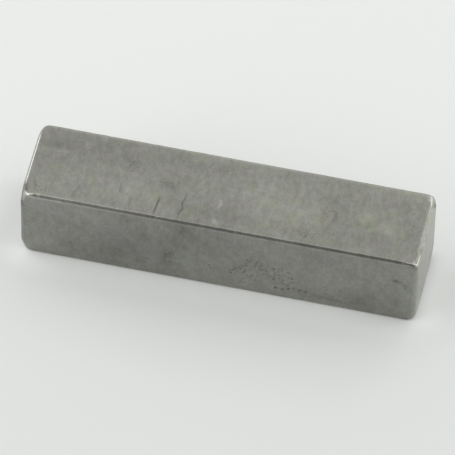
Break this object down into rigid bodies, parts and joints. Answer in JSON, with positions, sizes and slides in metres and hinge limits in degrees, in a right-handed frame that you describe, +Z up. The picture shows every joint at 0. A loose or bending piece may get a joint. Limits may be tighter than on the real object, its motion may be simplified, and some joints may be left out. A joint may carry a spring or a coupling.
{
  "type": "parallel key",
  "caption": "Square-section parallel key with square ends, a plain steel bar that locks a hub to a shaft in their keyways.",
  "frame": {"origin": "centre of the key's underside, on the surface that it rests on", "axes": "+X along the key, +Y across its width, +Z up through its height"},
  "size_m": [0.022, 0.005, 0.005],
  "materials": {
    "key_steel": "dull cold-drawn key steel, tumbled, with shiny worn edges and a few fine marks and pits"
  },
  "bodies": {
    "root": {"parallel_key": "key_steel"}
  },
  "joints": []
}
